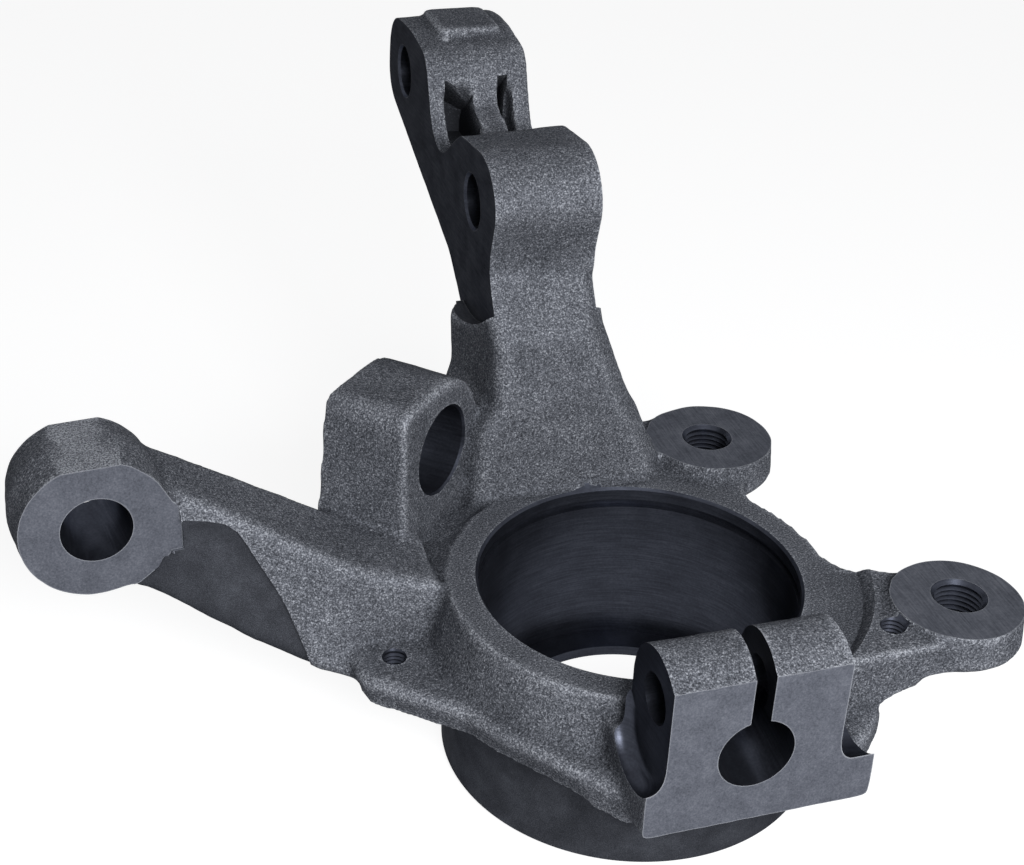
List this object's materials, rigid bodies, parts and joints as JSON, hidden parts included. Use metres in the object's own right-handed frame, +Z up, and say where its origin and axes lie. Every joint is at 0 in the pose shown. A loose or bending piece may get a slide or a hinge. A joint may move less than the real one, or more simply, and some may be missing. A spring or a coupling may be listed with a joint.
{
  "type": "steering knuckle",
  "caption": "Cast steering knuckle with a bearing hub, upright strut bracket arm, steering arm with an eye, caliper ears, split stud clamp and sensor boss",
  "frame": {"origin": "centre of the bearing bore at the machined inboard rim", "axes": "+Z up the bearing bore axis to the inboard side, -Y to the ball-stud clamp, +Y to the strut arm, -X to the steering arm, +X to the caliper ears"},
  "size_m": [0.2101, 0.2115, 0.1335],
  "materials": {
    "casting": "grey cast skin with machined faces and bores"
  },
  "bodies": {
    "root": {"knuckle": "casting"}
  },
  "joints": []
}
